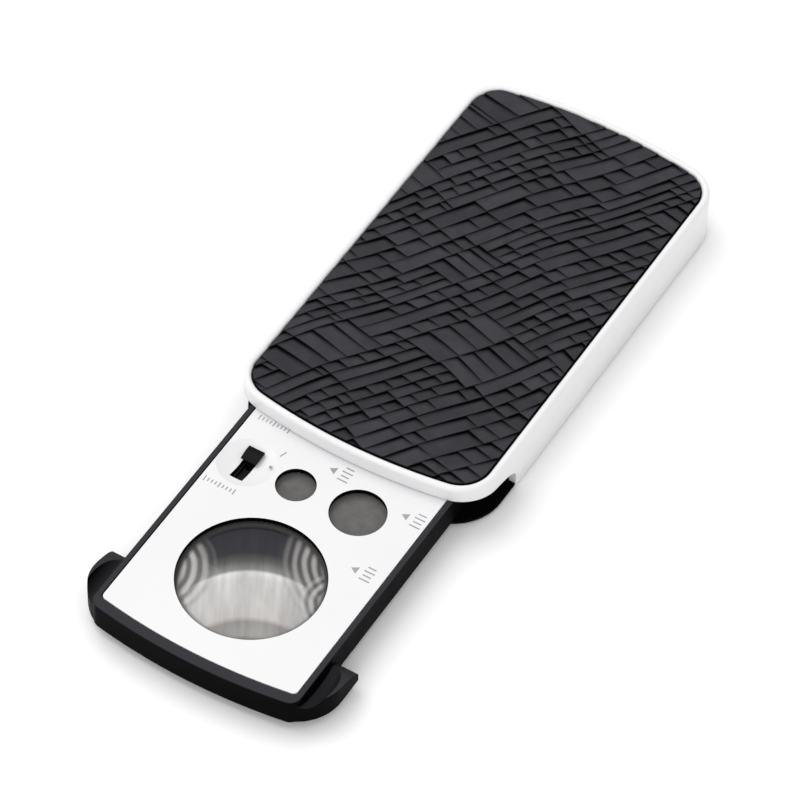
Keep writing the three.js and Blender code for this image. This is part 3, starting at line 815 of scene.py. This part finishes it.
def clip_to(polygon, outline):
    """Part of a polygon of (x, y, z) points above a convex anticlockwise outline."""
    for (ax, ay), (bx, by) in zip(outline, outline[1:] + outline[:1]):
        def depth(spot):
            return (bx - ax) * (spot[1] - ay) - (by - ay) * (spot[0] - ax)

        kept = []
        for p, q in zip(polygon, polygon[1:] + polygon[:1]):
            inside_p, inside_q = depth(p), depth(q)
            if inside_p >= 0:
                kept.append(p)
            if inside_p * inside_q < 0:
                part = inside_p / (inside_p - inside_q)
                kept.append(tuple(u + (v - u) * part for u, v in zip(p, q)))
        polygon = kept
        if len(polygon) < 3:
            return []
    return polygon


def split(start, end, choose):
    """Cut a stretch into pieces whose lengths come from choose(), with no sliver left at its end."""
    shortest = MM
    cuts = [start]
    while cuts[-1] < end:
        cuts.append(cuts[-1] + choose())
    cuts[-1] = end
    if len(cuts) > 2 and cuts[-1] - cuts[-2] < shortest:
        cuts.pop(-2)
    return list(zip(cuts, cuts[1:]))


def slat_cells(rng):
    """Cells (s0, s1, t0, t1) along the long and the cross way, in bands of long or of cross slats."""
    reach = 78 * MM
    rows = 3

    def band_width():
        return BAND * rng.uniform(0.7, 1.25)

    def stretch():
        return rng.uniform(8, 19) * MM

    def cross_width():
        return rng.uniform(2.9, 4.1) * MM

    def slat_length():
        return rng.choice(SLAT_LENGTHS) * rng.uniform(0.8, 1.2) * MM

    cells = []
    for t0, t1 in split(-reach, reach, band_width):
        for s0, s1 in split(-reach - rng.uniform(0, 12) * MM, reach, stretch):
            if rng.random() < CROSS_SHARE:
                cells += [(a, b, t0, t1) for a, b in split(s0, s1, cross_width)]
                continue
            step = (t1 - t0) / rows
            for k in range(rows):
                low = t0 + step * k
                cells += [(a, b, low, low + step) for a, b in split(s0, s1, slat_length)]
    return cells


def sway(x, y):
    """Slow drift that keeps the pressed rows from running straight."""
    reach = 0.6 * MM
    u, v = x / (9 * MM), y / (12 * MM)
    return (
        x + reach * math.sin(1.3 * v + 0.7 * u) + 0.5 * reach * math.sin(2.1 * u - 1.7 * v + 1.0),
        y + reach * math.sin(1.1 * u - 0.9 * v + 2.0) + 0.5 * reach * math.sin(1.9 * v + 2.3 * u),
    )


def steps_along(length, fine_end):
    """Distances along a slat, close together towards its sunken end."""
    coarse = max(1, round((length - fine_end) / (2.5 * MM)))
    stops = [max(length - fine_end, 0) * i / coarse for i in range(coarse + 1)]
    return stops + [length - fine_end * f for f in (0.6, 0.3, 0.12, 0.0)]


def slat_patches(cell, rng, top):
    """Small faces of one slat, which dips under its neighbours at its far side and its upper end."""
    s0, s1, t0, t1 = cell
    length, width = s1 - s0, t1 - t0
    crown = top - rng.uniform(0.0, 0.13) * MM
    far_dip, end_dip = rng.uniform(0.42, 0.58) * MM, rng.uniform(0.4, 0.56) * MM
    far_reach, end_reach = min(1.35 * MM, 0.6 * width), min(1.35 * MM, 0.6 * length)
    along = steps_along(length, end_reach)
    across = [width - d for d in reversed(steps_along(width, far_reach))]

    def point(p, q):
        far = max(0.0, 1 - q / far_reach) ** 1.2 * (0.3 + 0.7 * p / length)
        end = max(0.0, 1 - (length - p) / end_reach) ** 1.2 * (1 - 0.7 * q / width)
        spot = SLAT_CENTRE + SLAT_LONG * (s0 + p) + SLAT_CROSS * (t0 + q)
        x, y = sway(spot.x, spot.y)
        return x, y, crown - max(far_dip * far, end_dip * end)

    rows = [[point(p, q) for p in along] for q in across]
    for low, high in zip(rows, rows[1:]):
        for i in range(len(along) - 1):
            yield [low[i], low[i + 1], high[i + 1], high[i]]


def well_inside(patch):
    """Whether a patch is so far from the pad's edge that it needs no clipping."""
    safe_x, safe_y = PAD_HALF.x - MM, PAD_HALF.y - 9 * MM
    return all(abs(x) < safe_x and abs(y - SLEEVE_Y) < safe_y for x, y, _ in patch)


def near_pad(cell):
    """Whether a cell's middle lies on the pad or a little beside it."""
    s0, s1, t0, t1 = cell
    middle = SLAT_CENTRE + SLAT_LONG * (s0 + s1) / 2 + SLAT_CROSS * (t0 + t1) / 2
    margin = 8 * MM
    return abs(middle.x) <= PAD_HALF.x + margin and abs(middle.y - SLEEVE_Y) <= PAD_HALF.y + margin


def add_slat(patches, edge, verts, faces):
    """Add one slat's faces, clipped to the edge, with its own corners shared between them."""
    known = {}
    for patch in patches:
        face = []
        for spot in patch if well_inside(patch) else clip_to(patch, edge):
            key = tuple(round(value * 1e7) for value in spot)
            if key not in known:
                known[key] = len(verts)
                verts.append(spot)
            if known[key] not in face:
                face.append(known[key])
        if len(face) > 2:
            faces.append(face)


def make_grip_pad():
    rng = random.Random(7)
    top = PAD_HIGH.z
    deep = top - 0.68 * MM
    edge = pad_outline(-0.3 * MM)
    verts, faces = [], []
    for cell in slat_cells(rng):
        if near_pad(cell):
            add_slat(slat_patches(cell, rng, top), edge, verts, faces)
    slats = skirted("grip_pad_slats", verts, faces, deep)
    finish = pad_finish()
    place(slats, "sleeve", "embossed_pad", finish)
    rings = [
        lift(pad_outline(0), PAD_LOW.z),
        lift(pad_outline(0), deep - 0.05 * MM),
        lift(pad_outline(-0.08 * MM), deep + 0.05 * MM),
    ]
    backing = loft("grip_pad_backing", rings)
    soften(backing, 0)
    place(backing, "sleeve", "embossed_pad", finish, "grip_pad")


def skirted(name, verts, faces, level):
    """Close every separate patch of faces with walls down to a level, and a floor there."""
    mesh = bpy.data.meshes.new(name)
    mesh.from_pydata(verts, [], faces)
    made = bmesh.new()
    made.from_mesh(mesh)
    rim = [e for e in made.edges if e.is_boundary]
    pulled = bmesh.ops.extrude_edge_only(made, edges=rim)["geom"]
    for vert in pulled:
        if isinstance(vert, bmesh.types.BMVert):
            vert.co.z = level
    bmesh.ops.holes_fill(made, edges=[e for e in made.edges if e.is_boundary], sides=0)
    bmesh.ops.recalc_face_normals(made, faces=made.faces)
    made.to_mesh(mesh)
    made.free()
    mesh.shade_smooth()
    mesh.set_sharp_from_angle(angle=math.radians(50))
    obj = bpy.data.objects.new(name, mesh)
    bpy.context.scene.collection.objects.link(obj)
    return obj


# ---- tray -------------------------------------------------------------------------

def edge_rounded(name, outline_at, low, high, foot, crown):
    """Upright solid whose outline shrinks over a rounded foot and a small crown bevel."""
    angles = [math.pi / 2 * i / 4 for i in range(5)]
    rings = []
    for angle in angles:
        inset = foot * (1 - math.sin(angle))
        rings.append(lift(outline_at(inset), low + foot * (1 - math.cos(angle))))
    for angle in angles[1:]:
        inset = crown * (1 - math.cos(angle))
        rings.append(lift(outline_at(inset), high - crown + crown * math.sin(angle)))
    return loft(name, rings)


def make_ears():
    front = TRAY_LOW.y

    def outline(inset):
        return tray_outline(EAR_HALF_WIDTH, front, front + EAR_BACK, TRAY_BOW, EAR_CORNER, inset)

    ears = edge_rounded("ears", outline, TRAY_LOW.z, FACE_Z, 0.6 * MM, 0.1 * MM)
    shut = front + SHELL_HALF.y - SLEEVE_Y
    line = notch_line(shut - RUNNING_GAP, -RUNNING_GAP)
    sky = 10 * MM
    end_y, end_z = line[-1]
    section = line + [(end_y + MM, end_z), (end_y + MM, sky), (line[0][0], sky)]
    reach = 30 * MM
    above = loft("above", [[Vector((x, y, z)) for y, z in section] for x in (-reach, reach)])
    return boolean(ears, [above, ear_scoop(1), ear_scoop(-1)])


def ear_scoop(side):
    """Rounded hollow between the tray's side and its ear."""
    angles = [math.pi * i / 24 for i in range(25)]
    ball = revolve("scoop", [(math.sin(a), -math.cos(a)) for a in angles], 0, 0, 40)
    ball.data.transform(Matrix.Diagonal((3.2 * MM, 7.5 * MM, 4.2 * MM, 1)))
    x = side * (TRAY_HALF_WIDTH + 0.4 * MM)
    y = TRAY_LOW.y + EAR_BACK - 6.4 * MM
    ball.data.transform(Matrix.Translation((x, y, 8.2 * MM)))
    return ball


def make_tray():
    front, back = TRAY_LOW.y, TRAY_HIGH.y

    def outline(inset):
        return tray_outline(TRAY_HALF_WIDTH, front, back, TRAY_BOW, TRAY_CORNER, inset)

    tray = edge_rounded("tray_skin", outline, TRAY_LOW.z, TRAY_HIGH.z, 0.6 * MM, 0.2 * MM)
    boolean(tray, [make_ears()], "UNION")
    seat = tray_outline(
        TRAY_HALF_WIDTH - RIM_SIDE, front + RIM_FRONT, back - RIM_REAR, TRAY_BOW - RIM_FRONT, 1.0 * MM
    )
    seat_z = FACE_Z - 1.3 * MM
    hollow = tray_outline(TRAY_HALF_WIDTH - 2 * MM, front + 3.2 * MM, back - 2 * MM, TRAY_BOW, 1.5 * MM)
    floor_z = TRAY_LOW.z + TRAY_FLOOR
    tools = [
        loft("seat", [lift(seat, seat_z), lift(seat, TRAY_HIGH.z + MM)]),
        loft("hollow", [lift(hollow, floor_z), lift(hollow, TRAY_HIGH.z + MM)]),
    ]
    boolean(tray, tools)
    for name in APERTURES:
        add_lens_well(tray, name, floor_z, seat_z)
    boolean(tray, [*tray_windows(floor_z), *tray_door_cuts(floor_z)])
    soften(tray, 0.08 * MM, 2, 40)
    return place(tray, "tray", "tray_plastic", tray_finish(), "tray_frame")


def add_lens_well(tray, name, floor_z, seat_z):
    """Round wall with a seat for the lens and its ring, open through the tray's floor."""
    x, y = lens_centre(name)
    glass = APERTURES[name] + GLASS_RIM[name]
    bore = glass + 0.2 * MM
    hole = glass - LENS_RING_WIDTH - 0.3 * MM
    above = 9 * MM
    wall = revolve("wall", [(bore + MM, floor_z - 0.2 * MM), (bore + MM, seat_z)], x, y, 96)
    boolean(tray, [wall], "UNION")
    cuts = [
        revolve("bore", [(bore, floor_z), (bore, above)], x, y, 96),
        revolve("hole", [(hole, -MM), (hole, above)], x, y, 96),
    ]
    boolean(tray, cuts)


def tray_windows(floor_z):
    """Cuts for the lamps' windows and for the screws."""
    gap = 0.25 * MM
    above = floor_z + 0.1 * MM
    cuts = []
    for name in ("white_led_1", "white_led_2", "uv_led"):
        low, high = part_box(name)
        cuts.append(box_piece("window", (low.x - gap, low.y - gap, 0), (high.x + gap, high.y + gap, above)))
    for i in range(1, 5):
        x, y = centre_of(f"tray_screw_{i}")
        cuts.append(screw_cut("sink", SCREW_SINK, 0, TRAY_LOW.z + 0.7 * MM, x, y, 40))
        cuts.append(screw_cut("pilot", SCREW_HOLE, MM, 4 * MM, x, y, 24))
    return cuts


def tray_door_cuts(floor_z):
    """Cuts for the battery door and for the tab with its screw."""
    low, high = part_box("battery_door")
    gap = 0.3 * MM
    above = floor_z + 0.1 * MM
    body_back = low.y + 12.8 * MM
    tab = 3.2 * MM + gap
    return [
        box_piece("bay", (low.x - gap, low.y - gap, 0), (high.x + gap, body_back + gap, above)),
        box_piece("tab", (-tab, low.y, 0), (tab, high.y + gap, high.z + gap)),
    ]


def plate_outline(inset):
    return tray_outline(
        TRAY_HALF_WIDTH - RIM_SIDE - PLATE_SLIT,
        TRAY_LOW.y + RIM_FRONT + PLATE_SLIT,
        TRAY_HIGH.y - RIM_REAR - PLATE_SLIT,
        TRAY_BOW - RIM_FRONT,
        1.0 * MM,
        inset,
    )


def switch_dish(x, y):
    """Cut of the shallow round dish that the knob slides in."""
    sphere = (DISH_RADIUS ** 2 + DISH_DEPTH ** 2) / (2 * DISH_DEPTH)
    reach = math.acos(1 - (DISH_DEPTH + 0.3 * MM) / sphere)
    profile = []
    for i in range(17):
        angle = reach * i / 16
        profile.append((sphere * math.sin(angle), FACE_Z - DISH_DEPTH + sphere * (1 - math.cos(angle))))
    return revolve("dish", profile, x, y, 96)


def make_face_plate():
    thick = 1.0 * MM
    above = 9 * MM
    plate = edge_rounded("face_plate_skin", plate_outline, FACE_Z - thick, FACE_Z, 0.05 * MM, 0.12 * MM)
    x, y = knob_rest()
    pod_x, pod_y = 3.9 * MM, 5 * MM
    pod_low = (x - pod_x, y - pod_y, FACE_Z - DISH_DEPTH - 1.1 * MM)
    pod_high = (x + pod_x, y + pod_y, FACE_Z - thick + 0.2 * MM)
    boolean(plate, [box_piece("pod", pod_low, pod_high)], "UNION")
    slot_x, slot_y = SLOT_WIDTH / 2, SLOT_LENGTH / 2
    slot = box_piece("slot", (x - slot_x, y - slot_y, 0), (x + slot_x, y + slot_y, above))
    holes = []
    for name, aperture in APERTURES.items():
        profile = [(aperture, 0), (aperture, above)]
        holes.append(revolve("aperture", profile, *lens_centre(name), 128))
    boolean(plate, [switch_dish(x, y), slot, *holes])
    soften(plate, 0.06 * MM, 2, 40)
    place(plate, "tray", "plate_plastic", plate_finish(), "face_plate")
    paint_aperture_shade(plate)


def paint_aperture_shade(plate):
    """The walls of the plate's holes and of its slot get the black finish of the mounts behind them, as
    painted shade for the shadow inside them.
    """
    plate.data.materials.append(tray_finish())
    centres = [(Vector(lens_centre(name)), radius) for name, radius in APERTURES.items()]
    centres.append((knob_rest(), SLOT_LENGTH / 2))
    # painted shade: the upright faces round each hole and the slot take the black finish
    for face in plate.data.polygons:
        if abs(face.normal.z) < 0.3:
            spot = Vector((face.center.x, face.center.y))
            if any((spot - centre).length < radius + 0.05 * MM for centre, radius in centres):
                face.material_index = 1


def bulge(radius, height, steps=12):
    return [(radius * i / steps, height * (1 - (i / steps) ** 2)) for i in range(steps + 1)]


def make_lens(name, finish, ring_finish):
    """One lens and the ring that holds it down."""
    x, y = lens_centre(name)
    low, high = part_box("lens_" + name)
    radius = APERTURES[name] + GLASS_RIM[name]
    rise, sink = GLASS_RISE[name], GLASS_SINK[name]
    under = [(r, low.z + sink - h) for r, h in bulge(radius, sink)]
    over = [(r, high.z - rise + h) for r, h in bulge(radius, rise)]
    glass = revolve("lens_glass_" + name, under + over[::-1], x, y, 96)
    glass.data.shade_smooth()
    glass.data.set_sharp_from_angle(angle=math.radians(40))
    place(glass, "tray", "lens_glass", finish, "lens_" + name)
    low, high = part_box("lens_ring_" + name)
    inner = radius - LENS_RING_WIDTH
    ring = tube("lens_spacer_" + name, radius, inner, low.z, high.z, x, y, 96, 0.1 * MM)
    soften(ring, 0)
    place(ring, "tray", "tray_plastic", ring_finish, "lens_ring_" + name)


def make_lenses():
    big, small = big_lens_finish(), small_lens_finish()
    ring_finish = tray_finish()
    make_lens("30x", big, ring_finish)
    make_lens("60x", small, ring_finish)
    make_lens("90x", small, ring_finish)


def make_knob():
    low, high = KNOB_LOW, KNOB_HIGH
    neck = 7.05 * MM
    section = [
        (low.y, neck),
        (high.y, neck),
        (high.y, high.z - 0.1 * MM),
        (high.y - 0.25 * MM, high.z),
        (low.y + 1.7 * MM, high.z),
        (low.y + 0.9 * MM, high.z - 0.2 * MM),
        (low.y + 0.1 * MM, neck + 0.08 * MM),
    ]
    cap = loft("switch_knob_cap", [[Vector((x, y, z)) for y, z in section] for x in (low.x, high.x)])
    middle = (low.x + high.x) / 2
    stem_low = (middle - 0.8 * MM, low.y + 0.3 * MM, low.z)
    stem_high = (middle + 0.8 * MM, high.y - 0.3 * MM, neck + 0.1 * MM)
    boolean(cap, [box_piece("stem", stem_low, stem_high)], "UNION")
    soften(cap, 0.12 * MM, 3, 30)
    place(cap, "switch", "knob_plastic", knob_finish(), "switch_knob")


# ---- print on the face plate -----------------------------------------------------

def printed(name, outlines):
    """Thin printed patches of convex outlines on the face plate, as one piece."""
    low, high = FACE_Z - 0.03 * MM, FACE_Z + 0.012 * MM
    verts, faces = [], []
    for outline in outlines:
        first, count = len(verts), len(outline)
        verts += lift(outline, low) + lift(outline, high)
        faces.append(tuple(reversed(range(first, first + count))))
        faces.append(tuple(range(first + count, first + 2 * count)))
        for i in range(count):
            j = (i + 1) % count
            faces.append((first + i, first + j, first + count + j, first + count + i))
    return new_object(name, verts, faces)


def bar(x, y, length, width, angle=0.0):
    c, s = math.cos(angle), math.sin(angle)
    u, v = length / 2, width / 2
    corners = ((-u, -v), (u, -v), (u, v), (-u, v))
    return [(x + c * across - s * along, y + s * across + c * along) for across, along in corners]


def lens_marks(x, y):
    """Small triangle that points at a lens, and four ticks beside it."""
    yield [(x - 0.7 * MM, y), (x + 0.6 * MM, y - 0.8 * MM), (x + 0.6 * MM, y + 0.8 * MM)]
    for k in range(4):
        length = (2.1 - 0.5 * (k % 2)) * MM
        yield bar(x + 2.6 * MM, y + (k - 1.3) * 0.95 * MM, length, 0.28 * MM)


def tick_row(x, y):
    """Nine upright ticks at even steps, with the first, the middle and the last taller."""
    for k in range(9):
        tall = 1.25 if k % 4 == 0 else 0.8
        yield bar(x + (k - 4) * 0.75 * MM, y, 0.22 * MM, tall * MM)


def make_marks():
    """A triangle and ticks by each lens, a row of ticks at both ends of the switch, a dot and a dash."""
    front = TRAY_LOW.y
    shapes = []
    for x, y in ((-0.7, 48.6), (15.3, 46.5), (14.0, 31.9)):
        shapes += lens_marks(x * MM, front + y * MM)
    for x, y in ((-15.7, 35.2), (-14.9, 51.9)):
        shapes += tick_row(x * MM, front + y * MM)
    shapes.append(circle(-10.25 * MM, front + 43.3 * MM, 0.32 * MM, 24))
    shapes.append(bar(-9.9 * MM, front + 46.9 * MM, 1.5 * MM, 0.25 * MM, math.radians(70)))
    marks = printed("plate_print", shapes)
    place(marks, "tray", "plate_plastic", ink_finish())


# ---- carried-over CAD nodes --------------------------------------------------------

def dress(names, finish):
    for name in names:
        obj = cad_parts[name]
        obj.data.materials.clear()
        obj.data.materials.append(finish)


def numbered(name, count):
    return [f"{name}_{i}" for i in range(1, count + 1)]


def dress_inner_parts():
    steel = metal_finish("screw_steel", colour(150, 152, 156), colour(188, 190, 194), 0.3, 900.0)
    cell_steel = metal_finish("cell_steel", colour(190, 190, 188), colour(214, 214, 212), 0.25, 500.0)
    strip = metal_finish("spring_strip", colour(206, 186, 140), colour(226, 208, 168), 0.28, 700.0)
    clear = lamp_finish("lamp_clear", colour(236, 228, 176), colour(250, 246, 214))
    violet = lamp_finish("lamp_violet", colour(146, 130, 206), colour(180, 168, 232))
    dress([*numbered("shell_screw", 4), *numbered("tray_screw", 4), "door_screw"], steel)
    dress(numbered("button_cell", 3), cell_steel)
    dress(["cell_link_upper", "cell_link_lower", "contact_positive", "contact_negative"], strip)
    dress(["circuit_board"], board_finish())
    dress(["switch_body", "battery_door"], tray_finish())
    dress(numbered("white_led", 2), clear)
    dress(["uv_led"], violet)


make_camera()
make_studio()
make_upper_shell()
make_lower_shell()
make_grip_pad()
make_tray()
make_face_plate()
make_lenses()
make_knob()
make_marks()
dress_inner_parts()
